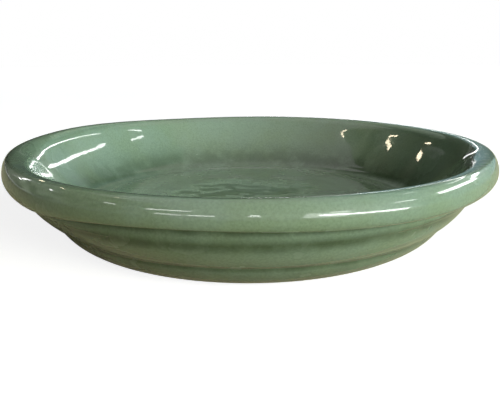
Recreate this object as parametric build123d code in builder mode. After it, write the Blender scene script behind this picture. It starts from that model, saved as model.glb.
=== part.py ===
from build123d import *
import math
import os

# A round plant saucer: one thrown stoneware body and the glaze fired onto it.
# Both are turned shapes about +Z. The origin is on the ground, at the centre of the foot.
# Lengths are in millimetres and angles in degrees.

os.makedirs("parts", exist_ok=True)

# Clay body, overall
body_d = 259.0  # across the widest point of the rolled rim
body_h = 46.65  # from the foot face up to the crest of the rim

# Rolled rim, measured in from its widest point and down from its crest
crest_inset = 4.5  # widest point in to the crest
shoulder_drop = 7.45  # crest down to the widest point
under_roll_r = 4.0  # rounding from the widest point into the level underside
rim_overhang = 9.5  # widest point in to the throat, where the underside meets the wall
throat_r = 1.4  # rounding in the throat

# Outside wall: a low throwing ridge, a broad one, then the belly down to the foot
low_ridge_h = 7.1
low_ridge_lean = 0.6  # how far the wall draws in over the low ridge
low_ridge_bulge = 1.25  # how far the ridge stands out of its own chord
broad_ridge_h = 13.3
broad_ridge_lean = 11.2
broad_ridge_bulge = 1.25
belly_bulge = 2.9
wall_groove_r = 3.0  # rounding in the two grooves between the ridges

# Foot ring, its trimmed bare band, and the shallow recess inside it
foot_d = 177.0  # outer edge of the resting face
foot_band_h = 1.9  # bare band turned back under the belly
foot_band_lean = 1.7
foot_ring_w = 8.0
foot_edge_r = 0.8  # rounding of both edges of the resting face
recess_h = 3.2
recess_flare = 2.0  # how far the side of the recess leans in towards its roof
recess_r = 2.5  # rounding where that side meets the roof

# Inside of the well
floor_t = 8.9  # clay between the recess and the floor of the well
lip_r = 9.0  # rounding from the crest into the well
wall_top_slope = 58.0  # inside wall under the lip, above level; the wall is slightly hollow
wall_foot_slope = 50.0  # inside wall where it meets the corner
corner_r = 12.0  # rounding between the wall and the floor

# Glaze: thin where it runs off the crests, thick where it pools
glaze_on_crest = 0.35
glaze_on_rim = 0.5
glaze_on_wall = 0.5  # inside wall
glaze_on_floor = 0.6
glaze_corner_r = 15.0  # the pool in the corner has a wider rounding than the clay
glaze_on_ridge = 0.4
glaze_fill_out = 0.55  # how far the pool stands out of a groove
glaze_fill_down = 0.45  # and how far it hangs below it
glaze_throat_r = 1.8
glaze_groove_r = 4.0
glaze_edge_gap = 0.9  # bare clay between the glaze edge and the end of the belly
bead_w = 0.5  # length of the rounded edge in which the glaze ends
inside_overrun = 1.5  # how far the glaze outline runs into the clay before it is trimmed

rim_r = body_d / 2
foot_r = foot_d / 2
floor_z = recess_h + floor_t
crest = (rim_r - crest_inset, body_h)
widest = (rim_r, body_h - shoulder_drop)
throat = (rim_r - rim_overhang, widest[1] - under_roll_r)
upper_groove = (throat[0] - low_ridge_lean, throat[1] - low_ridge_h)
lower_groove = (upper_groove[0] - broad_ridge_lean, upper_groove[1] - broad_ridge_h)
belly_end = (foot_r + foot_band_lean, foot_band_h)
ring_outer = (foot_r, 0)
ring_inner = (foot_r - foot_ring_w, 0)
recess_edge = (ring_inner[0] - recess_flare, recess_h)


def pooled(point):
    """The place of a groove's bottom once the glaze has pooled in it."""
    return (point[0] + glaze_fill_out, point[1] - glaze_fill_down)


def draw_shoulder(side_cover, crest_cover):
    """Outer top of the roll, from its widest point up to the crest."""
    EllipticalCenterArc(
        (crest[0], widest[1]),
        crest_inset + side_cover,
        shoulder_drop + crest_cover,
        start_angle=0,
        arc_size=90,
    )


def draw_underside(side_cover, inner_end):
    """Underside of the roll: a round outer corner, then level in to the throat."""
    turn_r = under_roll_r + side_cover
    turn_x = rim_r - under_roll_r
    CenterArc((turn_x, widest[1]), turn_r, start_angle=270, arc_size=90)
    Line((turn_x, widest[1] - turn_r), inner_end)


def draw_inside(lip_start, lip_radius, floor_level, corner_radius):
    """The well: round lip, slightly hollow wall, rounded corner and flat floor, to the axis."""
    top_run = math.cos(math.radians(wall_top_slope))
    foot_run = math.cos(math.radians(wall_foot_slope))
    lip = JernArc(lip_start, (-1, 0), lip_radius, wall_top_slope)
    wall_drop = (lip @ 1).Y - floor_level - corner_radius * (1 - foot_run)
    hollow_r = wall_drop / (foot_run - top_run)
    wall = JernArc(lip @ 1, lip % 1, hollow_r, wall_foot_slope - wall_top_slope)
    corner = JernArc(wall @ 1, wall % 1, corner_radius, -wall_foot_slope)
    Line(corner @ 1, (0, floor_level))


def round_corner(outline, point, radius):
    """Rounds the outline's corner nearest to a point."""
    fillet(outline.vertices().sort_by_distance(point)[0], radius)


# Clay body: foot ring, belly, two throwing ridges, rolled rim and well
with BuildPart() as clay_body:
    with BuildSketch(Plane.XZ) as clay_outline:
        with BuildLine():
            Polyline((0, recess_h), recess_edge, ring_inner, ring_outer, belly_end)
            belly = SagittaArc(belly_end, lower_groove, -belly_bulge)
            SagittaArc(lower_groove, upper_groove, -broad_ridge_bulge)
            SagittaArc(upper_groove, throat, -low_ridge_bulge)
            draw_underside(0, throat)
            draw_shoulder(0, 0)
            draw_inside(crest, lip_r, floor_z, corner_r)
            Line((0, floor_z), (0, recess_h))
        make_face()
        round_corner(clay_outline, throat, throat_r)
        round_corner(clay_outline, upper_groove, wall_groove_r)
        round_corner(clay_outline, lower_groove, wall_groove_r)
        round_corner(clay_outline, ring_outer, foot_edge_r)
        round_corner(clay_outline, ring_inner, foot_edge_r)
        round_corner(clay_outline, recess_edge, recess_r)
    revolve(axis=Axis.Z)

# Where the glaze ends on the belly, in a rounded edge that dips into the clay outline
edge_share = glaze_edge_gap / belly.length
belly_dir = belly % edge_share
belly_out = Vector(belly_dir.Y, -belly_dir.X)
bead_end = belly @ edge_share - belly_out * inside_overrun
bead_top = belly @ edge_share + belly_dir * bead_w + belly_out * glaze_on_ridge

# Glaze coat: all that lies between its own surface and the clay
with BuildPart() as glaze_coat:
    with BuildSketch(Plane.XZ) as glaze_outline:
        with BuildLine():
            glaze_crest = (crest[0], body_h + glaze_on_crest)
            glaze_floor_z = floor_z + glaze_on_floor
            inside_z = floor_z - inside_overrun
            ridge_gain = glaze_on_ridge - glaze_fill_out
            Polyline((0, glaze_floor_z), (0, inside_z), (bead_end.X, inside_z), bead_end)
            TangentArc(bead_top, bead_end, tangent=-belly_dir)
            SagittaArc(bead_top, pooled(lower_groove), -belly_bulge)
            SagittaArc(pooled(lower_groove), pooled(upper_groove), -broad_ridge_bulge - ridge_gain)
            SagittaArc(pooled(upper_groove), pooled(throat), -low_ridge_bulge - ridge_gain)
            draw_underside(glaze_on_rim, pooled(throat))
            draw_shoulder(glaze_on_rim, glaze_on_crest)
            draw_inside(glaze_crest, lip_r + glaze_on_wall, glaze_floor_z, glaze_corner_r)
        make_face()
        round_corner(glaze_outline, pooled(throat), glaze_throat_r)
        round_corner(glaze_outline, pooled(upper_groove), glaze_groove_r)
        round_corner(glaze_outline, pooled(lower_groove), glaze_groove_r)
    revolve(axis=Axis.Z)
    add(clay_body.part, mode=Mode.SUBTRACT)

clay_body.part.label = "clay_body"
export_step(clay_body.part, "parts/clay_body.step")

glaze_coat.part.label = "glaze_coat"
export_step(glaze_coat.part, "parts/glaze_coat.step")
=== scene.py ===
"""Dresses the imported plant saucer: a turned stoneware body under a celadon glaze.

Both pieces are drawn as half sections, as a turner's template is laid out, and spun about +Z.
Template lengths are in millimetres and angles in degrees; the finished meshes are in metres.
"""

import logging
import math
from dataclasses import dataclass
from enum import Enum
from typing import Any

import bmesh
import bpy
from mathutils import Matrix, Vector, noise

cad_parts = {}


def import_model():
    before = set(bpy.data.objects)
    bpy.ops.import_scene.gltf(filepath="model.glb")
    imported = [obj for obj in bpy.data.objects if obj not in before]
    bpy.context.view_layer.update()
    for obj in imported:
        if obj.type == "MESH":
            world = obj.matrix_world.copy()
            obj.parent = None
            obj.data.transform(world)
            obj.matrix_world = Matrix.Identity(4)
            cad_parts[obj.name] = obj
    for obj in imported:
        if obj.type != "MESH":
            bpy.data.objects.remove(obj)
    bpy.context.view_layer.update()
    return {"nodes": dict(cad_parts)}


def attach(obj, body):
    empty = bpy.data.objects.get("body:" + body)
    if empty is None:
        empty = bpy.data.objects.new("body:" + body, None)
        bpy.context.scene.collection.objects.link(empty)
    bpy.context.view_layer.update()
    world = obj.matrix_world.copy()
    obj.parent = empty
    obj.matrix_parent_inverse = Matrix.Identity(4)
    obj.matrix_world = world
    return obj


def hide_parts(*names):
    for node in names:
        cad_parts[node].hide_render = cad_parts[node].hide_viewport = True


Pair = tuple[float, float]
Colour = tuple[float, float, float]
Place = tuple[float, float, float]
Socket = bpy.types.NodeSocket
Feed = Socket | float
Tint = Socket | Colour

LOG = logging.getLogger("plant_saucer")
BODY = "root"
MM = 0.001

# Points of a mesh in millimetres that are nearer than this count as one.
WELD = 0.001

# Radius in millimetres of the clay's belly, the same under the glaze and past its edge.
BELLY_R = 22.58836

# Where in the noise each size of wave starts, so that no two run together.
NOISE_STEP = 31.0
NOISE_START = (7.0, 3.0)

# Places of a Mix node's colours, because its sockets for other kinds have the same names.
MIX_FIRST = 6
MIX_SECOND = 7
MIX_RESULT = 2

UP = (0.0, 0.0, 1.0)
TO_BACK = (0.0, 1.0, 0.0)
TO_LEFT = (-1.0, 0.0, 0.0)
TO_RIGHT = (1.0, 0.0, 0.0)

WHITE = (1.0, 1.0, 1.0)
DARK = (0.02, 0.02, 0.02)
WINDOW_LIGHT = (1.0, 0.985, 0.95)
BULB_LIGHT = (1.0, 0.86, 0.62)


class Skin(Enum):
    """What a vertex of a piece belongs to, kept in the mesh as a number."""

    BEDDED = 0.0
    OPEN_FACE = 1.0


@dataclass(frozen=True)
class Run:
    """A straight stretch of a template.

    Args:
        length: how far it goes, in millimetres.
        steps: how many edges it is made of.
    """

    length: float
    steps: int


@dataclass(frozen=True)
class Bend:
    """A round stretch of a template.

    Args:
        radius: its radius in millimetres.
        turn: how far it turns, in degrees, to the left where positive.
        steps: how many edges it is made of.
    """

    radius: float
    turn: float
    steps: int


Stroke = Run | Bend


class Template:
    """A half section drawn from the axis outwards in the XZ plane, stroke by stroke."""

    def __init__(self, mesh: bmesh.types.BMesh, start_z: float) -> None:
        """Starts on the axis, heading out along +X.

        Args:
            mesh: the mesh that the line is drawn in.
            start_z: height of the first point, in millimetres.
        """
        self.mesh = mesh
        self.tip = mesh.verts.new((0.0, 0.0, start_z))
        self.heading = 0.0
        self.line = [self.tip]

    def follow(self, strokes: tuple[Stroke, ...]) -> None:
        """Draws several strokes, each tangent to the one before.

        Args:
            strokes: the straight and round stretches, in order.
        """
        for stroke in strokes:
            if isinstance(stroke, Run):
                self._run(stroke)
            else:
                self._bend(stroke)

    def turn_on_the_spot(self, degrees: float) -> None:
        """Makes a sharp corner."""
        self.heading += math.radians(degrees)

    def end_on_axis(self) -> None:
        """Puts the last point on the axis."""
        self.tip.co.x = 0.0

    def _run(self, stroke: Run) -> None:
        """Extrudes the tip along the heading, once for each step.

        Args:
            stroke: the straight stretch.
        """
        ahead = Vector((math.cos(self.heading), 0.0, math.sin(self.heading)))
        step = ahead * (stroke.length / stroke.steps)
        for _ in range(stroke.steps):
            made = bmesh.ops.extrude_vert_indiv(self.mesh, verts=[self.tip])
            self.tip = made["verts"][0]
            bmesh.ops.translate(self.mesh, vec=step, verts=[self.tip])
            self.line.append(self.tip)

    def _bend(self, stroke: Bend) -> None:
        """Spins the tip about the centre of the bend.

        Args:
            stroke: the round stretch.
        """
        side = math.copysign(1.0, stroke.turn)
        left = Vector((-math.sin(self.heading), 0.0, math.cos(self.heading)))
        before = set(self.mesh.verts)
        made = bmesh.ops.spin(
            self.mesh,
            geom=[self.tip],
            cent=self.tip.co + left * (side * stroke.radius),
            axis=(0.0, -side, 0.0),
            dvec=(0.0, 0.0, 0.0),
            angle=math.radians(abs(stroke.turn)),
            space=Matrix.Identity(4),
            steps=stroke.steps,
            use_merge=False,
            use_normal_flip=False,
            use_duplicate=False,
        )
        self.tip = next(v for v in made["geom_last"] if isinstance(v, bmesh.types.BMVert))
        self.line.extend(v for v in self.mesh.verts if v not in before)
        self.heading += math.radians(stroke.turn)


@dataclass(frozen=True)
class Press:
    """One place where the thrower's hand pressed the soft clay.

    Args:
        at: its middle, in degrees from +X towards +Y.
        across: how far it reaches to each side, in degrees.
        heart: radius and height of its middle, in millimetres.
        reach: how far it reaches over the section.
        out: how far it moves the clay out, in millimetres.
        up: how far it moves it up.
    """

    at: float
    across: float
    heart: Pair
    reach: float
    out: float = 0.0
    up: float = 0.0

    def push(self, radius: float, height: float, angle: float) -> Pair:
        """Works out how far the press moves a place.

        Args:
            radius: the place's distance from the axis, in millimetres.
            height: its height.
            angle: its angle in degrees from +X towards +Y.

        Returns:
            How far it moves out, and how far up.
        """
        turned = (angle - self.at + 180.0) % 360.0 - 180.0
        away = math.hypot(radius - self.heart[0], height - self.heart[1]) / self.reach
        share = math.exp(-((turned / self.across) ** 2) - away * away)
        return self.out * share, self.up * share


# The hearts of the presses: radius and height on the section, in millimetres.
CREST = (124.0, 45.0)
SHOULDER = (128.0, 41.0)
ROLL = (125.0, 37.0)
UNDER_ROLL = (125.0, 34.0)
THROAT = (119.0, 28.0)
BELLY = (108.0, 15.0)
WELL_SIDE = (110.0, 33.0)


@dataclass(frozen=True)
class ThrownHand:
    """The unevenness that a hand on the wheel leaves, the same for the clay and its glaze.

    Args:
        presses: the places where it pressed.
    """

    presses: tuple[Press, ...] = (
        Press(226.0, 17.0, ROLL, 7.5, up=-2.72),
        Press(256.0, 18.0, UNDER_ROLL, 4.5, up=1.05),
        Press(272.0, 14.0, UNDER_ROLL, 4.5, up=0.50),
        Press(312.0, 26.0, ROLL, 7.5, up=-1.39),
        Press(340.0, 26.0, ROLL, 7.5, up=0.68),
        Press(232.0, 26.0, THROAT, 8.0, out=1.15),
        Press(308.0, 26.0, THROAT, 8.0, out=-0.80),
        Press(185.0, 35.0, CREST, 9.0, up=0.78),
        Press(150.0, 28.0, CREST, 9.0, up=1.50),
        Press(120.0, 26.0, CREST, 9.0, up=-0.61),
        Press(90.0, 26.0, CREST, 9.0, up=-0.14),
        Press(350.0, 28.0, CREST, 9.0, up=0.67),
        Press(180.0, 30.0, SHOULDER, 8.0, out=-0.38),
        Press(0.0, 30.0, SHOULDER, 8.0, out=0.42),
        Press(225.0, 26.0, BELLY, 12.0, out=-0.79),
        Press(196.0, 22.0, WELL_SIDE, 8.0, out=0.29),
    )

    def shape(self, verts: list[bmesh.types.BMVert]) -> None:
        """Moves vertices as the hand did.

        Args:
            verts: the vertices of a turned piece, in millimetres.
        """
        for vert in verts:
            radius = math.hypot(vert.co.x, vert.co.y)
            if radius < WELD:
                continue
            angle = math.degrees(math.atan2(vert.co.y, vert.co.x))
            pushes = [press.push(radius, vert.co.z, angle) for press in self.presses]
            scale = 1.0 + sum(out for out, _ in pushes) / radius
            vert.co.x *= scale
            vert.co.y *= scale
            vert.co.z += sum(up for _, up in pushes)


@dataclass(frozen=True)
class Wave:
    """One size of wave in the glaze.

    Args:
        height: how high it stands, in millimetres.
        length: how long it is.
    """

    height: float
    length: float


@dataclass(frozen=True)
class PouredGlaze:
    """Gentle waves in the surface of a fired glaze. All lengths are in millimetres.

    Args:
        waves: the waves that all of it has.
        floor_waves: the waves that only the level floor has.
        floor_edge: radii between which the floor's own waves die away, the smaller first.
        level: how far up a normal points where the glaze counts as floor.
        ring_height: height of the throwing rings that show through.
        ring_pitch: distance from ring to ring.
        ring_climb: how fast the rings follow each other up a wall, against across the floor.
        ring_arc: how far round a ring keeps its height.
        calm_z: height of the glaze's foot, where it has no waves.
        calm_rise: how far above it they have their full height.
    """

    waves: tuple[Wave, ...] = (Wave(0.10, 42.0), Wave(0.022, 15.0), Wave(0.005, 6.5))
    floor_waves: tuple[Wave, ...] = (Wave(0.28, 24.0), Wave(0.05, 9.0))
    floor_edge: Pair = (84.0, 98.0)
    level: float = 0.5
    ring_height: float = 0.025
    ring_pitch: float = 3.4
    ring_climb: float = 1.3
    ring_arc: float = 60.0
    calm_z: float = 2.2
    calm_rise: float = 3.0

    def _swell(self, waves: tuple[Wave, ...], place: Vector) -> float:
        """Adds up one set of waves at a place.

        Args:
            waves: the sizes of wave.
            place: the place, in millimetres.

        Returns:
            How far the glaze stands out there.
        """
        return sum(
            wave.height * noise.noise(place / wave.length + Vector((NOISE_STEP * k, *NOISE_START)))
            for k, wave in enumerate(waves)
        )

    def _ring(self, place: Vector, radius: float) -> float:
        """Works out the throwing rings' part at a place.

        Args:
            place: the place, in millimetres.
            radius: its distance from the axis.

        Returns:
            How far the glaze stands out there.
        """
        along = (radius - self.ring_climb * place.z) / self.ring_pitch
        spot = Vector((place.x / self.ring_arc, place.y / self.ring_arc, along))
        return self.ring_height * noise.noise(spot)

    def ripple(self, mesh: bmesh.types.BMesh, verts: list[bmesh.types.BMVert]) -> None:
        """Moves open vertices along their normals.

        Args:
            mesh: the mesh, in millimetres.
            verts: the vertices of the glaze's open face.
        """
        mesh.normal_update()
        inner, outer = self.floor_edge
        moves = []
        for vert in verts:
            radius = math.hypot(vert.co.x, vert.co.y)
            height = self._swell(self.waves, vert.co)
            if radius < outer and vert.normal.z > self.level:
                share = min(1.0, (outer - radius) / (outer - inner))
                height += share * self._swell(self.floor_waves, vert.co)
            height += self._ring(vert.co, radius)
            fade = min(1.0, max(0.0, (vert.co.z - self.calm_z) / self.calm_rise))
            moves.append((vert, vert.normal * (height * fade)))
        for vert, move in moves:
            vert.co += move


@dataclass(frozen=True)
class Grain:
    """Cloudy noise.

    Args:
        size: size of its blotches, in metres.
        detail: how many finer layers it has.
        rough: how strong the finer layers are.
    """

    size: float
    detail: float = 2.0
    rough: float = 0.5


@dataclass(frozen=True)
class Blotches:
    """Cloudy noise, of which one band is stretched over a range.

    Args:
        grain: the noise, about 0.5 on average.
        band: where the stretched band starts and ends.
        gives: what comes out at its start and at its end.
    """

    grain: Grain
    band: Pair
    gives: Pair = (0.0, 1.0)


@dataclass(frozen=True)
class Dots:
    """Scattered small round dots.

    Args:
        pitch: distance from one possible dot to the next, in metres.
        size: largest radius of a dot, as a share of the pitch.
        share: how many of the possible dots are there.
        cover: how much of what is under it a dot hides.
        soft: how much of a dot's radius its soft edge takes.
    """

    pitch: float
    size: float
    share: float
    cover: float
    soft: float = 0.5


class NodeDesk:
    """Lays out the nodes of one tree and joins them."""

    def __init__(self, tree: bpy.types.NodeTree) -> None:
        """Clears the tree."""
        self.tree = tree
        self.tree.nodes.clear()

    def add(self, kind: str, inputs: dict[str | int, Any], **settings: Any) -> bpy.types.Node:
        """Adds a node.

        Args:
            kind: the node's type.
            inputs: a number, colour or socket for each input by name or place.
            settings: the node's own properties.

        Returns:
            The node.
        """
        node = self.tree.nodes.new(kind)
        for key, value in settings.items():
            setattr(node, key, value)
        for key, value in inputs.items():
            if isinstance(value, Socket):
                self.tree.links.new(value, node.inputs[key])
            else:
                node.inputs[key].default_value = value
        return node

    def place(self) -> Socket:
        """Returns the socket with the place on the object, in metres."""
        return self.add("ShaderNodeTexCoord", {}).outputs["Object"]

    def parts(self, place: Socket) -> bpy.types.NodeOutputs:
        """Returns the sockets X, Y and Z of a place."""
        return self.add("ShaderNodeSeparateXYZ", {"Vector": place}).outputs

    def reach(self, place: Socket) -> Socket:
        """Returns the socket with a place's distance from the origin."""
        return self.add("ShaderNodeVectorMath", {0: place}, operation="LENGTH").outputs["Value"]

    def radius(self, place: Socket) -> Socket:
        """Works out how far a place is from the saucer's axis.

        Args:
            place: the socket with the place.

        Returns:
            The socket with the distance, in metres.
        """
        parts = self.parts(place)
        flat = self.add("ShaderNodeCombineXYZ", {"X": parts["X"], "Y": parts["Y"]})
        return self.reach(flat.outputs[0])

    def attribute(self, name: str) -> Socket:
        """Returns the socket of a number kept in the mesh."""
        return self.add("ShaderNodeAttribute", {}, attribute_name=name).outputs["Fac"]

    def sum(self, kind: str, first: Feed, second: Feed) -> Socket:
        """Adds a Math node and returns its value socket."""
        return self.add("ShaderNodeMath", {0: first, 1: second}, operation=kind).outputs[0]

    def spread(self, value: Socket, band: Pair, gives: Pair = (0.0, 1.0)) -> Socket:
        """Stretches a band of a value smoothly over a range.

        Args:
            value: the value.
            band: where the band starts and ends.
            gives: what comes out at its start and at its end.

        Returns:
            The result.
        """
        inputs = {
            "Value": value,
            "From Min": band[0],
            "From Max": band[1],
            "To Min": gives[0],
            "To Max": gives[1],
        }
        node = self.add("ShaderNodeMapRange", inputs, interpolation_type="SMOOTHSTEP")
        return node.outputs["Result"]

    def grain(self, place: Socket, grain: Grain) -> Socket:
        """Adds cloudy noise.

        Args:
            place: the coordinates it follows.
            grain: its sizes.

        Returns:
            Its value, about 0.5 on average.
        """
        inputs = {
            "Vector": place,
            "Scale": 1.0 / grain.size,
            "Detail": grain.detail,
            "Roughness": grain.rough,
        }
        return self.add("ShaderNodeTexNoise", inputs).outputs["Fac"]

    def blotches(self, place: Socket, blotches: Blotches) -> Socket:
        """Adds cloudy noise and stretches a band of it."""
        return self.spread(self.grain(place, blotches.grain), blotches.band, blotches.gives)

    def dots(self, place: Socket, dots: Dots) -> Socket:
        """Scatters small round dots.

        Args:
            place: the coordinates they follow.
            dots: their sizes.

        Returns:
            A value that is 1 in a dot and 0 elsewhere.
        """
        inputs = {"Vector": place, "Scale": 1.0 / dots.pitch, "Randomness": 1.0}
        cells = self.add("ShaderNodeTexVoronoi", inputs)
        chance = self.add("ShaderNodeSeparateColor", {"Color": cells.outputs["Color"]}).outputs
        picked = self.sum("LESS_THAN", chance[0], dots.share)
        edge = self.sum("MULTIPLY", chance[1], dots.size)
        inside = self.sum("SUBTRACT", edge, cells.outputs["Distance"])
        return self.sum("MULTIPLY", self.spread(inside, (0.0, dots.size * dots.soft)), picked)

    def blend(self, share: Feed, first: Tint, second: Tint, way: str = "MIX") -> Socket:
        """Blends two colours.

        Args:
            share: how much of the second.
            first: a colour or colour socket.
            second: a colour or colour socket.
            way: the kind of blend.

        Returns:
            The colour.
        """
        node = self.add("ShaderNodeMix", {0: share}, data_type="RGBA", blend_type=way)
        for slot, colour in ((MIX_FIRST, first), (MIX_SECOND, second)):
            if isinstance(colour, Socket):
                self.tree.links.new(colour, node.inputs[slot])
            else:
                node.inputs[slot].default_value = (*colour, 1.0)
        return node.outputs[MIX_RESULT]

    def tone(self, colour: Socket, share: Socket) -> Socket:
        """Multiplies a colour by a share, the same for red, green and blue."""
        grey = self.add("ShaderNodeCombineColor", {0: share, 1: share, 2: share}).outputs[0]
        return self.blend(1.0, colour, grey, "MULTIPLY")

    def dotted(self, colour: Socket, dots: Socket, cover: float, second: Colour) -> Socket:
        """Lays dots of a second colour over a colour."""
        return self.blend(self.sum("MULTIPLY", dots, cover), colour, second)

    def bump(
        self, height: Socket, depth: float, share: float, over: Socket | None = None
    ) -> Socket:
        """Adds relief.

        Args:
            height: the height.
            depth: how deep a height of 1 is, in metres.
            share: how much of it shows.
            over: a normal that it is added to.

        Returns:
            The normal.
        """
        inputs = {"Height": height, "Distance": depth, "Strength": share}
        if over is not None:
            inputs["Normal"] = over
        return self.add("ShaderNodeBump", inputs).outputs["Normal"]

    def shown(self) -> Socket:
        """Tells rays that show what they meet from those that only carry light.

        Returns:
            A value that is 1 for camera, glossy and transmission rays and 0 for others.
        """
        path = self.add("ShaderNodeLightPath", {}).outputs
        either = self.sum("MAXIMUM", path["Is Camera Ray"], path["Is Glossy Ray"])
        return self.sum("MAXIMUM", either, path["Is Transmission Ray"])


class MaterialDesk(NodeDesk):
    """Lays out one material's nodes."""

    def __init__(self, name: str) -> None:
        """Makes an empty node material.

        Args:
            name: the material's name.
        """
        self.material = bpy.data.materials.new(name)
        self.material.use_nodes = True
        super().__init__(self.material.node_tree)

    def end(self, shader: bpy.types.Node) -> bpy.types.Material:
        """Joins a shader to the output and returns the material."""
        self.add("ShaderNodeOutputMaterial", {"Surface": shader.outputs[0]})
        return self.material


@dataclass(frozen=True)
class CeladonFinish:
    """Glossy grey-green glaze over iron-bearing clay. All lengths are in metres.

    Args:
        face: the glaze at its common thickness.
        cool: its bluer clouds.
        clouds: how they drift.
        pooled: thick glaze's olive, partly painted shade in the hollows.
        pool_edge: how the edge of that olive and painted shade wavers.
        low_brown: a browner, darker glaze colour near the foot.
        low_brown_z: heights between which it turns to that colour, the upper first.
        low_brown_edge: how that stretch wavers.
        sugar: its fine lighter and darker grain.
        speck: colour of the iron specks.
        specks: how they lie.
        bubble: colour of the pale broken bubbles.
        pinholes: how they lie.
        pinhole_depth: how deep they are.
        dish_r: radius of the very flat dish in the floor.
        swell: the glaze's swells in the dish.
        swell_edge: radii between which they start, the outer first.
        swell_height: how high they are, as a share of the dish's depth.
        dish_depth: how deep it is.
        peel: the orange peel of a fired surface.
        peel_depth: how deep it is.
        dull: roughness of the glaze's body under its clear surface.
        gloss: roughness of the clear surface.
        index: how strongly the glass bends light.
        body_shine: how much the glaze's body mirrors by itself.
    """

    face: Colour = (0.170, 0.238, 0.140)
    cool: Colour = (0.180, 0.252, 0.166)
    clouds: Blotches = Blotches(Grain(0.030, 3.0, 0.55), (0.36, 0.64))
    # Partly the olive of thick glaze, partly painted shade in the throat, the grooves and the
    # well's corner.
    pooled: Colour = (0.046, 0.075, 0.033)
    pool_edge: Blotches = Blotches(Grain(0.010), (0.25, 0.6), (0.65, 1.0))
    # Browner and darker low down, towards the foot.
    low_brown: Colour = (0.150, 0.172, 0.098)
    low_brown_z: Pair = (0.014, 0.002)
    low_brown_edge: Blotches = Blotches(Grain(0.012, 3.0), (0.30, 0.62), (0.45, 1.0))
    sugar: Blotches = Blotches(Grain(0.0011, 3.0, 0.7), (0.32, 0.68), (0.90, 1.10))
    speck: Colour = (0.035, 0.034, 0.022)
    specks: Dots = Dots(0.0075, 0.075, 0.30, cover=0.8)
    bubble: Colour = (0.34, 0.40, 0.31)
    pinholes: Dots = Dots(0.0105, 0.040, 0.28, cover=0.7)
    pinhole_depth: float = 0.00012
    dish_r: float = 0.062
    swell: Grain = Grain(0.026)
    swell_edge: Pair = (0.068, 0.046)
    swell_height: float = 1.35
    dish_depth: float = 0.0020
    peel: Grain = Grain(0.0042, 2.0, 0.45)
    peel_depth: float = 0.00002
    dull: Blotches = Blotches(Grain(0.022, 3.0), (0.35, 0.7), (0.20, 0.30))
    gloss: float = 0.035
    index: float = 1.5
    body_shine: float = 0.08

    def _colour(self, desk: NodeDesk, place: Socket, pinholes: Socket) -> Socket:
        """Mixes the glaze's colour.

        Args:
            desk: the desk of its nodes.
            place: the place on the saucer.
            pinholes: 1 in a pinhole and 0 elsewhere.

        Returns:
            The colour.
        """
        colour = desk.blend(desk.blotches(place, self.clouds), self.face, self.cool)
        # Browner and darker towards the foot.
        low = desk.spread(desk.parts(place)["Z"], self.low_brown_z)
        low = desk.sum("MULTIPLY", low, desk.blotches(place, self.low_brown_edge))
        colour = desk.blend(low, colour, self.low_brown)
        # Darkens the hollows: thick glaze, and painted shade in the throat, the grooves and the
        # well's corner.
        pool = desk.sum("MULTIPLY", desk.attribute("pool"), desk.blotches(place, self.pool_edge))
        colour = desk.blend(pool, colour, self.pooled)
        colour = desk.tone(colour, desk.blotches(place, self.sugar))
        specks = desk.dots(place, self.specks)
        colour = desk.dotted(colour, specks, self.specks.cover, self.speck)
        return desk.dotted(colour, pinholes, self.pinholes.cover, self.bubble)

    def _relief(self, desk: NodeDesk, place: Socket, pinholes: Socket) -> Socket:
        """Works out the relief that is too shallow for the mesh.

        Args:
            desk: the desk of its nodes.
            place: the place on the saucer.
            pinholes: 1 in a pinhole and 0 elsewhere.

        Returns:
            The normal.
        """
        radius = desk.radius(place)
        dish = desk.spread(radius, (0.0, self.dish_r))
        share = desk.spread(radius, self.swell_edge, (0.0, self.swell_height))
        swell = desk.sum("MULTIPLY", desk.grain(place, self.swell), share)
        relief = desk.bump(desk.sum("ADD", dish, swell), self.dish_depth, 1.0)
        relief = desk.bump(desk.grain(place, self.peel), self.peel_depth, 1.0, relief)
        return desk.bump(pinholes, -self.pinhole_depth, 1.0, relief)

    def make(self) -> bpy.types.Material:
        """Makes the glaze's material.

        Returns:
            The material.
        """
        desk = MaterialDesk("celadon_glaze")
        place = desk.place()
        pinholes = desk.dots(place, self.pinholes)
        relief = self._relief(desk, place, pinholes)
        inputs = {
            "Base Color": self._colour(desk, place, pinholes),
            "Roughness": desk.blotches(place, self.dull),
            "IOR": self.index,
            "Specular IOR Level": self.body_shine,
            "Coat Weight": 1.0,
            "Coat Roughness": self.gloss,
            "Coat IOR": self.index,
            "Normal": relief,
            "Coat Normal": relief,
        }
        return desk.end(desk.add("ShaderNodeBsdfPrincipled", inputs))


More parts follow.
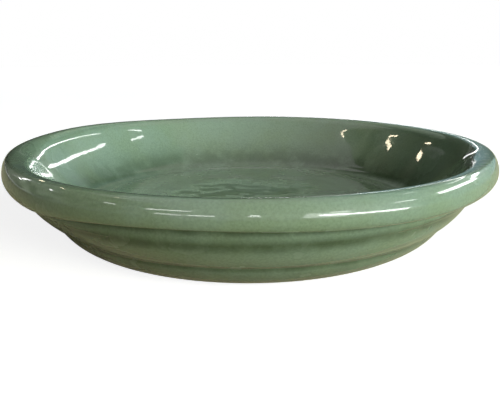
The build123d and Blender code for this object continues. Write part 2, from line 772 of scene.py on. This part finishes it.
@dataclass(frozen=True)
class StonewareFinish:
    """Bare fired stoneware with fine grog and turning rings. All lengths are in metres.

    Args:
        clay: its common colour.
        toasted: where the kiln has flashed it.
        flash: how the flashes drift.
        flash_r: radii between which they grow.
        flash_share: how strong they are inside and outside those radii.
        sand: its fine lighter and darker grain.
        grog: colour of its dark grains.
        grains: how they lie.
        ring_pitch: distance from turning ring to turning ring.
        ring_depth: how deep they are.
        ring_wander: how far a ring strays.
        wander: how it strays.
        tooth: the clay's fine tooth.
        tooth_depth: how deep it is.
        relief_share: how much of the rings and the tooth shows.
        dry: roughness of the clay.
        shine: how much it mirrors.
    """

    clay: Colour = (0.42, 0.31, 0.205)
    toasted: Colour = (0.31, 0.195, 0.115)
    flash: Blotches = Blotches(Grain(0.040, 4.0, 0.6), (0.38, 0.66))
    flash_r: Pair = (0.072, 0.088)
    flash_share: Pair = (0.25, 1.0)
    sand: Blotches = Blotches(Grain(0.0009, 4.0, 0.7), (0.3, 0.7), (0.84, 1.12))
    grog: Colour = (0.12, 0.082, 0.05)
    grains: Dots = Dots(0.0032, 0.13, 0.35, cover=0.75)
    ring_pitch: float = 0.0024
    ring_depth: float = 0.00004
    ring_wander: float = 0.0016
    wander: Grain = Grain(0.030)
    tooth: Grain = Grain(0.0012, 4.0, 0.65)
    tooth_depth: float = 0.00012
    relief_share: float = 0.8
    dry: Blotches = Blotches(Grain(0.005, 3.0), (0.3, 0.7), (0.74, 0.90))
    shine: float = 0.35

    def _colour(self, desk: NodeDesk, place: Socket, radius: Socket) -> Socket:
        """Mixes the clay's colour.

        Args:
            desk: the desk of its nodes.
            place: the place on the saucer.
            radius: its distance from the axis.

        Returns:
            The colour.
        """
        at_foot = desk.spread(radius, self.flash_r, self.flash_share)
        flash = desk.sum("MULTIPLY", desk.blotches(place, self.flash), at_foot)
        colour = desk.blend(flash, self.clay, self.toasted)
        colour = desk.tone(colour, desk.blotches(place, self.sand))
        return desk.dotted(colour, desk.dots(place, self.grains), self.grains.cover, self.grog)

    def _relief(self, desk: NodeDesk, place: Socket, radius: Socket) -> Socket:
        """Works out the turning rings and the tooth.

        Args:
            desk: the desk of its nodes.
            place: the place on the saucer.
            radius: its distance from the axis.

        Returns:
            The normal.
        """
        stray = desk.sum("MULTIPLY", desk.grain(place, self.wander), self.ring_wander)
        along = desk.sum("ADD", radius, stray)
        rings = desk.sum("SINE", desk.sum("MULTIPLY", along, 2.0 * math.pi / self.ring_pitch), 0.0)
        relief = desk.bump(rings, self.ring_depth, self.relief_share)
        tooth = desk.grain(place, self.tooth)
        return desk.bump(tooth, self.tooth_depth, self.relief_share, relief)

    def make(self) -> bpy.types.Material:
        """Makes the clay's material.

        Returns:
            The material.
        """
        desk = MaterialDesk("bare_stoneware")
        place = desk.place()
        radius = desk.radius(place)
        inputs = {
            "Base Color": self._colour(desk, place, radius),
            "Roughness": desk.blotches(place, self.dry),
            "Specular IOR Level": self.shine,
            "Normal": self._relief(desk, place, radius),
        }
        return desk.end(desk.add("ShaderNodeBsdfPrincipled", inputs))


class TurnedPiece:
    """What the two turned pieces of the saucer share."""

    steps_round: int = 320

    def _blank(self) -> bmesh.types.BMesh:
        """Makes a mesh that can keep what each vertex belongs to and its thick glaze with painted
        shade.

        Returns:
            The empty mesh.
        """
        mesh = bmesh.new()
        mesh.verts.layers.float.new("open_face")
        # How thick the glaze stands, together with painted shade in the hollows.
        mesh.verts.layers.float.new("pool")
        return mesh

    def _spin(self, mesh: bmesh.types.BMesh, skin: Skin, line: list[bmesh.types.BMVert]) -> None:
        """Turns the drawn line into a closed skin.

        Args:
            mesh: the mesh that holds nothing but the line.
            skin: what the listed points belong to.
            line: those points; any others are bedded.
        """
        layer = mesh.verts.layers.float["open_face"]
        for vert in line:
            vert[layer] = skin.value
        bmesh.ops.spin(
            mesh,
            geom=mesh.verts[:] + mesh.edges[:],
            cent=(0.0, 0.0, 0.0),
            axis=UP,
            dvec=(0.0, 0.0, 0.0),
            angle=2.0 * math.pi,
            space=Matrix.Identity(4),
            steps=self.steps_round,
            use_merge=True,
            use_normal_flip=False,
            use_duplicate=False,
        )
        bmesh.ops.remove_doubles(mesh, verts=mesh.verts[:], dist=WELD)
        bmesh.ops.recalc_face_normals(mesh, faces=mesh.faces[:])

    def _hand_over(
        self, mesh: bmesh.types.BMesh, name: str, node: str, slot: str, material: bpy.types.Material
    ) -> bpy.types.Object:
        """Scales the mesh to metres, makes it an object and tells the frame about it.

        Args:
            mesh: the finished mesh, in millimetres.
            name: the piece's name.
            node: the CAD node it stands for.
            slot: the record's material slot; it is not used.
            material: its finish.

        Returns:
            The piece.
        """
        bmesh.ops.scale(mesh, vec=(MM, MM, MM), verts=mesh.verts[:])
        for face in mesh.faces:
            face.smooth = True
        data = bpy.data.meshes.new(name)
        mesh.to_mesh(data)
        mesh.free()
        data.materials.append(material)
        piece = bpy.data.objects.new(name, data)
        bpy.context.scene.collection.objects.link(piece)
        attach(piece, BODY)
        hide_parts(node)
        low, high = Vector(piece.bound_box[0]), Vector(piece.bound_box[6])
        LOG.info("%s: %d faces, %s to %s", name, len(data.polygons), tuple(low), tuple(high))
        return piece


@dataclass
class StonewareBody(TurnedPiece):
    """The fired clay: well, rolled rim, two throwing ridges, belly and foot ring.

    Args:
        hand: the unevenness it was thrown with.
        finish: its material.
        floor_z: height of the floor of the well under the glaze, in millimetres.
        glazed: the section from the axis to where the glaze ends on the belly.
        bare_belly: the rest of the belly.
        band_turn: the corner between the belly and the bare band, in degrees.
        foot: the section from that corner over the foot ring back to the axis.
    """

    hand: ThrownHand
    finish: StonewareFinish = StonewareFinish()
    floor_z: float = 12.1
    glazed: tuple[Stroke, ...] = (
        Run(89.2612, 10),  # floor of the well
        Bend(12.0, 50.0, 7),  # its corner
        Bend(230.64682, 8.0, 10),  # slightly hollow inside wall
        Bend(9.0, -58.0, 8),  # lip, up to the crest
        Bend(3.2, -55.984, 6),  # shoulder
        Bend(10.7971, -34.016, 5),  # shoulder, down to the widest point
        Bend(4.0, -90.0, 8),  # turn under the roll
        Run(3.3596, 2),  # level underside
        Bend(1.4, 104.4743, 6),  # throat
        Bend(5.702, -54.2607, 5),  # low ridge
        Bend(3.0, 15.2406, 2),  # upper groove
        Bend(30.858, -30.5067, 8),  # broad ridge
        Bend(3.0, 28.1348, 3),  # lower groove
        Bend(BELLY_R, -55.1075, 14),  # belly
    )
    bare_belly: Bend = Bend(BELLY_R, -1.7, 2)
    band_turn: float = 41.905
    foot: tuple[Stroke, ...] = (
        Run(2.1918, 3),  # bare band
        Bend(0.8, -48.1798, 4),  # outer edge of the ring
        Run(7.1989, 5),  # resting face
        Bend(0.8, -57.9946, 4),  # inner edge of the ring
        Run(1.9446, 3),  # side of the recess
        Bend(2.5, 57.9946, 5),  # its corner
        Run(77.1144, 16),  # roof of the recess
    )

    def build(self) -> bpy.types.Object:
        """Builds and dresses the clay.

        Returns:
            The finished body.
        """
        mesh = self._blank()
        template = Template(mesh, self.floor_z)
        template.follow((*self.glazed, self.bare_belly))
        template.turn_on_the_spot(self.band_turn)
        template.follow(self.foot)
        template.end_on_axis()
        self._spin(mesh, Skin.BEDDED, template.line)
        self.hand.shape(mesh.verts[:])
        return self._hand_over(mesh, "stoneware_body", "clay_body", "clay", self.finish.make())


@dataclass(frozen=True)
class PoolAndShade:
    """A place where the glaze stands thick, all the way round, and is darker also as painted shade.

    Args:
        radius: distance of its heart from the axis, in millimetres.
        height: height of its heart.
        reach: how far it reaches over the section.
        share: how thick it stands and how much painted shade lies at its heart, from 0 to 1.
    """

    radius: float
    height: float
    reach: float
    share: float

    def thickness(self, radius: float, height: float) -> float:
        """Returns how thick the glaze stands, with its painted shade, at a place on the section."""
        away = math.hypot(radius - self.radius, height - self.height) / self.reach
        return self.share * math.exp(-away * away)


@dataclass
class GlazeCoat(TurnedPiece):
    """The fired glaze, one skin over the well, the rim and the outside.

    Args:
        body: the clay it lies on.
        pour: the waves in its surface.
        finish: its material.
        floor_z: height of the glazed floor, in millimetres.
        surface: the section of its own surface, from the axis down to its rounded edge.
        pools: thick glaze with painted shade: the throat, both grooves, the well's corner.
    """

    body: StonewareBody
    pour: PouredGlaze = PouredGlaze()
    finish: CeladonFinish = CeladonFinish()
    floor_z: float = 12.7
    surface: tuple[Stroke, ...] = (
        Run(87.67, 40),  # floor of the well
        Bend(15.0, 50.0, 13),  # its corner
        Bend(194.98, 7.5, 20),  # hollow inside wall
        Bend(143.0, -2.0, 4),  # slight second curve under the lip
        Bend(9.711, -55.5, 14),  # lip, up to the crest
        Bend(3.7, -54.815, 9),  # shoulder
        Bend(10.8154, -35.185, 10),  # shoulder, down to the widest point
        Bend(4.5, -90.0, 12),  # turn under the roll
        Run(2.4157, 2),  # level underside
        Bend(1.8, 99.1061, 8),  # throat
        Bend(6.31932, -45.3861, 8),  # low ridge
        Bend(4.0, 9.9731, 2),  # upper groove
        Bend(34.90568, -26.5895, 15),  # broad ridge
        Bend(4.0, 27.2705, 4),  # lower groove
        Bend(20.96219, -58.3733, 24),  # belly
        Bend(0.3, -110.0, 5),  # rounded edge
    )
    # Thick glaze, also darkened as painted shade in these hollows.
    pools: tuple[PoolAndShade, ...] = (
        PoolAndShade(121.3, 34.2, 2.7, 1.00),
        PoolAndShade(119.9, 27.3, 3.6, 0.95),
        PoolAndShade(108.9, 14.2, 2.9, 0.90),
        PoolAndShade(98.0, 16.5, 12.0, 0.80),
    )

    def build(self) -> bpy.types.Object:
        """Builds and dresses the glaze.

        Returns:
            The finished glaze coat.
        """
        mesh = self._blank()
        outer = Template(mesh, self.floor_z)
        outer.follow(self.surface)
        bed = Template(mesh, self.body.floor_z)
        bed.follow(self.body.glazed)
        bmesh.ops.pointmerge(mesh, verts=[bed.tip, outer.tip], merge_co=bed.tip.co)
        self._spin(mesh, Skin.OPEN_FACE, [v for v in outer.line if v.is_valid])
        # Thick glaze and painted shade in the hollows.
        self._mark_pools(mesh)
        layer = mesh.verts.layers.float["open_face"]
        open_verts = [v for v in mesh.verts if v[layer] == Skin.OPEN_FACE.value]
        self.body.hand.shape(mesh.verts[:])
        self.pour.ripple(mesh, open_verts)
        return self._hand_over(mesh, "celadon_glaze", "glaze_coat", "glaze", self.finish.make())

    def _mark_pools(self, mesh: bmesh.types.BMesh) -> None:
        """Keeps how thick the glaze stands at each vertex, with the painted shade of the hollows,
        from 0 to 1.

        Args:
            mesh: the turned mesh, in millimetres.
        """
        layer = mesh.verts.layers.float["pool"]
        for vert in mesh.verts:
            radius = math.hypot(vert.co.x, vert.co.y)
            vert[layer] = max(pool.thickness(radius, vert.co.z) for pool in self.pools)


def towards(azimuth: float, elevation: float, distance: float = 6.0) -> Vector:
    """Finds the place that lies in a direction from the saucer.

    Args:
        azimuth: degrees from +Y towards +X.
        elevation: degrees above the horizon.
        distance: how far off it is, in metres.

    Returns:
        The place.
    """
    turn, rise = math.radians(azimuth), math.radians(elevation)
    level = distance * math.cos(rise)
    return Vector((level * math.sin(turn), level * math.cos(turn), distance * math.sin(rise)))


@dataclass(frozen=True)
class Lamp:
    """A flat lamp between two places, with its face towards the saucer.

    Args:
        name: its name.
        start: one end, in metres.
        end: the other end.
        breadth: its breadth across that line, in metres.
        glow: radiance of its face.
        colour: its colour.
        mirrored: whether the glaze shows its mirror image.
        lights: whether it lights the saucer, or is only mirrored.
    """

    name: str
    start: Vector
    end: Vector
    breadth: float
    glow: float
    colour: Colour = WHITE
    mirrored: bool = True
    lights: bool = True

    @classmethod
    def fill(
        cls, name: str, start: Vector, end: Vector, breadth: float, glow: float, colour: Colour
    ) -> "Lamp":
        """Makes a lamp that lights the saucer and isn't mirrored."""
        return cls(name, start, end, breadth, glow, colour, mirrored=False)

    @classmethod
    def glint(
        cls, name: str, start: Pair, end: Pair, breadth: float, glow: float, colour: Colour = WHITE
    ) -> "Lamp":
        """Makes a lamp that is only mirrored, between two pairs of azimuth and elevation."""
        return cls(name, towards(*start), towards(*end), breadth, glow, colour, lights=False)

    def hang(self) -> None:
        """Puts the lamp in the scene."""
        side = self.end - self.start
        lamp = bpy.data.lights.new(self.name, "AREA")
        lamp.shape = "RECTANGLE"
        lamp.size, lamp.size_y = side.length, self.breadth
        lamp.energy = self.glow * math.pi * side.length * self.breadth
        lamp.color = self.colour
        side.normalize()
        middle = (self.start + self.end) / 2.0
        back = (middle - side * middle.dot(side)).normalized()
        holder = bpy.data.objects.new(self.name, lamp)
        turn = Matrix((side, back.cross(side), back)).transposed().to_4x4()
        holder.matrix_world = Matrix.Translation(middle) @ turn
        holder.visible_camera = False
        holder.visible_glossy = self.mirrored
        holder.visible_diffuse = self.lights
        bpy.context.scene.collection.objects.link(holder)


@dataclass(frozen=True)
class Card:
    """A flat card that no camera sees: the glaze mirrors it in place of the white surroundings.

    Args:
        name: its name.
        place: its middle, in metres.
        facing: the direction square to it.
        size: width and height in metres.
        colour: how bright the mirror image of its first side is, or the colour of a lit one.
        far_colour: how bright its other side is; the same where it is not given.
        up: which way its height goes.
        lit: whether it has that colour only in the lamps' light and passes it on, as a table top.
        mottle: how much its brightness varies from place to place, as a share.
        clouds: the noise by which it varies.
        cloud_band: the part of that noise that is stretched over the variation.
    """

    name: str
    place: Place
    facing: Place
    size: Pair
    colour: Colour = DARK
    far_colour: Colour | None = None
    up: Place = UP
    lit: bool = False
    mottle: float = 0.0
    clouds: Grain = Grain(1.1)
    cloud_band: Pair = (0.35, 0.65)

    def _face(self, desk: NodeDesk) -> bpy.types.Node:
        """Gives the card its brightness.

        Args:
            desk: the desk of its nodes.

        Returns:
            The shader node.
        """
        if self.lit:
            return desk.add("ShaderNodeBsdfDiffuse", {"Color": (*self.colour, 1.0)})
        half = self.size[0] / 2.0
        place = desk.place()
        across = desk.spread(desk.parts(place)["X"], (-half, half))
        shade = desk.blend(across, self.colour, self.far_colour or self.colour)
        swing = (1.0 - self.mottle, 1.0 + self.mottle)
        glow = desk.blotches(place, Blotches(self.clouds, self.cloud_band, swing))
        return desk.add("ShaderNodeEmission", {"Color": shade, "Strength": glow})

    def stand(self) -> None:
        """Puts the card in the scene."""
        mesh = bmesh.new()
        bmesh.ops.create_grid(mesh, x_segments=1, y_segments=1, size=0.5)
        bmesh.ops.scale(mesh, vec=(*self.size, 1.0), verts=mesh.verts[:])
        data = bpy.data.meshes.new(self.name)
        mesh.to_mesh(data)
        mesh.free()
        desk = MaterialDesk(self.name)
        data.materials.append(desk.end(self._face(desk)))
        card = bpy.data.objects.new(self.name, data)
        back, up = Vector(self.facing), Vector(self.up)
        turn = Matrix((up.cross(back), up, back)).transposed().to_4x4()
        card.matrix_world = Matrix.Translation(self.place) @ turn
        card.visible_camera = False
        card.visible_diffuse = self.lit
        card.visible_transmission = False
        card.visible_shadow = False
        bpy.context.scene.collection.objects.link(card)


@dataclass
class Studio:
    """Pale floor, white surroundings, soft lamps, cards and the camera.

    Args:
        floor_r: radius of the floor in metres.
        floor_z: its height, a little under the table card.
        floor_sides: how many sides its round edge has.
        floor_paint: its colour.
        floor_near: how bright it shines by itself near the saucer, as a share of white.
        floor_fade: distances between which that grows to white.
        table_z: height of the table card, just under the saucer's foot.
        ambience: strength of the even light from all round.
        ambient: its colour.
        eye: the camera's place in metres.
        target: the point it looks at.
        roll: how far it is turned about its line of sight, in degrees.
        lens: its focal length in millimetres.
        film: the width of its frame in millimetres.
        clip: the nearest and the farthest that it sees, in metres.
    """

    floor_r: float = 6.0
    floor_z: float = -0.0006
    floor_sides: int = 96
    floor_paint: Colour = (0.55, 0.55, 0.55)
    floor_near: float = 0.86
    floor_fade: Pair = (0.6, 3.0)
    table_z: float = -0.0003
    ambience: float = 0.07
    ambient: Colour = (0.95, 0.98, 1.0)
    eye: Place = (0.0, -0.28909, 0.09257)
    target: Place = (0.00012, 0.0, 0.01144)
    roll: float = -0.217
    lens: float = 36.475
    film: float = 36.0
    clip: Pair = (0.01, 50.0)

    def build(self) -> None:
        """Puts up the floor, the surroundings, the lamps, the cards and the camera."""
        self._floor()
        self._surroundings()
        for lamp in (*self._fills(), *self._strips(), *self._glints()):
            lamp.hang()
        for card in self._cards():
            card.stand()
        self._camera()

    def _fills(self) -> tuple[Lamp, ...]:
        """Lays out the lamps that light the saucer and aren't mirrored.

        Returns:
            One soft window, the sky, the ceiling and the weaker lamps round them.
        """
        window = (Vector((0.90, -1.69, 0.66)), Vector((1.66, -0.93, 0.66)))
        sky = (Vector((2.72, -1.0, 1.27)), Vector((2.72, 1.0, 1.27)))
        ceiling = (Vector((-1.5, 0.3, 2.6)), Vector((1.5, 0.3, 2.6)))
        front = (Vector((-0.2, -2.1, 0.9)), Vector((0.9, -2.0, 0.9)))
        front_right = (towards(102, 3), towards(138, 10))
        right = (towards(84, 1.5), towards(108, 6))
        return (
            Lamp.fill("window", *window, 0.7, 13.6, WINDOW_LIGHT),
            Lamp.fill("sky", *sky, 1.5, 4.4, (0.55, 0.80, 1.0)),
            Lamp.fill("ceiling", *ceiling, 2.0, 0.90, (0.90, 1.0, 0.88)),
            Lamp.fill("front", *front, 0.7, 0.25, (1.0, 1.0, 0.82)),
            Lamp.fill("front_right_fill", *front_right, 0.8, 15.0, (0.66, 0.84, 1.0)),
            Lamp.fill("right_fill", *right, 0.6, 9.0, (0.58, 0.80, 1.0)),
        )

    def _strips(self) -> tuple[Lamp, ...]:
        """Lays out the long row of strips at the right, mirrored on the left of the well.

        Returns:
            The strips, from behind the saucer round to the right.
        """
        return (
            Lamp.glint("strip_a", (-1, 3.5), (10, 10.0), 0.035, 14.0),
            Lamp.glint("strip_b", (10, 10.0), (20, 16.5), 0.055, 14.0),
            Lamp.glint("strip_c", (20, 16.5), (30, 22.0), 0.075, 14.0),
            Lamp.glint("strip_d", (30, 22.0), (44, 28.4), 0.10, 14.0),
            Lamp.glint("strip_e", (44, 28.4), (60, 34.4), 0.09, 14.0),
            Lamp.glint("short_strip", (78.5, 42.5), (88.5, 45.0), 0.10, 16.0),
        )

    def _glints(self) -> tuple[Lamp, ...]:
        """Lays out what else the glaze mirrors: low windows, lamps in front, and warm bulbs.

        Returns:
            The lamps, from the right round the front to the left.
        """
        return (
            Lamp.glint("right_low_near", (44, 23.4), (62, 20.8), 0.36, 14.0),
            Lamp.glint("right_low_far", (64, 15.5), (92, 19.0), 0.55, 14.0),
            Lamp.glint("front_right_low", (113, 1), (152, 10.5), 0.48, 20.0),
            Lamp.glint("front_right_end", (140, 8.0), (158, 11.5), 1.50, 5.0),
            Lamp.glint("front_right_high", (137, 16.5), (146, 18.5), 0.25, 14.0),
            Lamp.glint("front_right_top", (106, 19), (115, 22), 0.25, 9.0),
            Lamp.glint("front_middle_high", (176.5, 17), (180, 17), 0.25, 14.0),
            Lamp.glint("front_middle_low", (176, 13), (181, 13), 0.25, 12.0),
            Lamp.glint("front_left_high", (-155, 28), (-135, 24.3), 0.25, 14.0),
            Lamp.glint("front_left_low", (-166, 12.5), (-155, 13), 0.25, 12.0),
            Lamp.glint("front_left_faint", (-153, 12.5), (-141, 12.5), 0.40, 6.0),
            Lamp.glint("left_faint", (-119, 26), (-113, 26), 0.30, 6.0),
            Lamp.glint("left_a", (-84, 19.5), (-81.5, 23), 0.15, 10.0),
            Lamp.glint("left_b", (-63.5, 11), (-60, 13), 0.18, 10.0),
            Lamp.glint("left_c", (-61, 16), (-56, 24), 0.25, 10.0),
            Lamp.glint("faint_near", (-8, 8.5), (-20, 15.8), 0.08, 0.22),
            Lamp.glint("faint_far", (-20, 15.8), (-36, 24.5), 0.10, 0.22),
            Lamp.glint("bulb_a", (-99, 49), (-95, 49.3), 0.08, 20.0, BULB_LIGHT),
            Lamp.glint("bulb_b", (-64.5, 38.2), (-58.5, 37.2), 0.10, 20.0, BULB_LIGHT),
            Lamp.glint("bulb_c", (-37.5, 26.3), (-33.5, 24.9), 0.07, 16.0, BULB_LIGHT),
        )

    def _cards(self) -> tuple[Card, ...]:
        """Lays out the dark and grey cards that the glaze mirrors, and the table top.

        Returns:
            The cards.
        """
        high_left = ((0.48, 0.56, 0.48), DARK)
        behind_right = (DARK, (0.22, 0.36, 0.38))
        left = (DARK, (0.25, 0.28, 0.22))
        front_left = ((0.38, 0.45, 0.33), (0.55, 0.62, 0.50))
        right = ((0.50, 0.60, 0.60), (0.30, 0.44, 0.46))
        table_top, wood = (0.0, 0.0, self.table_z), (0.58, 0.525, 0.33)
        return (
            Card("card_behind_left", (-2.5, 9.4, 2.65), TO_BACK, (9.0, 5.24)),
            Card("card_high_left", (-2.5, 9.4, 9.37), TO_BACK, (9.0, 8.2), *high_left),
            Card("card_behind_right", (4.5, 9.4, 6.75), TO_BACK, (5.0, 13.44), *behind_right),
            Card("card_left", (-7.0, 6.75, 6.1), TO_LEFT, (5.5, 12.0), *left),
            Card(
                "card_front_left", (-7.0, -3.5, 4.05), TO_LEFT, (15.0, 7.9), *front_left, mottle=0.7
            ),
            Card("card_right", (7.0, 3.6, 6.1), TO_RIGHT, (12.0, 12.0), *right),
            Card("table", table_top, UP, (11.0, 11.0), wood, up=TO_BACK, lit=True),
        )

    def _floor(self) -> None:
        """Makes the pale floor, which keeps the saucer's shadow."""
        mesh = bmesh.new()
        size = {"radius": self.floor_r, "segments": self.floor_sides}
        bmesh.ops.create_circle(mesh, cap_ends=True, **size)
        bmesh.ops.translate(mesh, vec=(0.0, 0.0, self.floor_z), verts=mesh.verts[:])
        data = bpy.data.meshes.new("floor")
        mesh.to_mesh(data)
        mesh.free()
        desk = MaterialDesk("floor_paint")
        paint = desk.add("ShaderNodeBsdfDiffuse", {"Color": (*self.floor_paint, 1.0)}).outputs[0]
        near = desk.spread(desk.reach(desk.place()), self.floor_fade, (self.floor_near, 1.0))
        shine = desk.add("ShaderNodeEmission", {"Color": (*WHITE, 1.0), "Strength": near})
        bright = desk.add("ShaderNodeAddShader", {0: paint, 1: shine.outputs[0]}).outputs[0]
        mixed = desk.add("ShaderNodeMixShader", {0: desk.shown(), 1: paint, 2: bright})
        data.materials.append(desk.end(mixed))
        floor = bpy.data.objects.new("floor", data)
        bpy.context.scene.collection.objects.link(floor)

    def _surroundings(self) -> None:
        """Makes the world white where it is seen and dim where it only lights."""
        world = bpy.data.worlds.new("studio")
        bpy.context.scene.world = world
        world.use_nodes = True
        desk = NodeDesk(world.node_tree)
        dim = {"Color": (*self.ambient, 1.0), "Strength": self.ambience}
        lit = desk.add("ShaderNodeBackground", dim).outputs[0]
        white = {"Color": (*WHITE, 1.0), "Strength": 1.0}
        seen = desk.add("ShaderNodeBackground", white).outputs[0]
        mixed = desk.add("ShaderNodeMixShader", {0: desk.shown(), 1: lit, 2: seen})
        desk.add("ShaderNodeOutputWorld", {"Surface": mixed.outputs[0]})

    def _camera(self) -> None:
        """Makes the camera at the photograph's viewing angle."""
        data = bpy.data.cameras.new("camera")
        data.sensor_width = self.film
        data.lens = self.lens
        data.clip_start, data.clip_end = self.clip
        camera = bpy.data.objects.new("camera", data)
        eye = Vector(self.eye)
        sight = (Vector(self.target) - eye).to_track_quat("-Z", "Y").to_matrix().to_4x4()
        roll = Matrix.Rotation(math.radians(self.roll), 4, "Z")
        camera.matrix_world = Matrix.Translation(eye) @ sight @ roll
        bpy.context.scene.collection.objects.link(camera)
        bpy.context.scene.camera = camera


def main() -> None:
    """Loads the frame and builds the saucer and its studio."""
    logging.basicConfig(level=logging.INFO, format="%(name)s: %(message)s")
    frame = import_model()
    LOG.info("packed nodes: %s", ", ".join(sorted(frame["nodes"])))
    body = StonewareBody(ThrownHand())
    body.build()
    GlazeCoat(body).build()
    Studio().build()
    bpy.context.scene.view_settings.view_transform = "Standard"


if __name__ == "__main__":
    main()
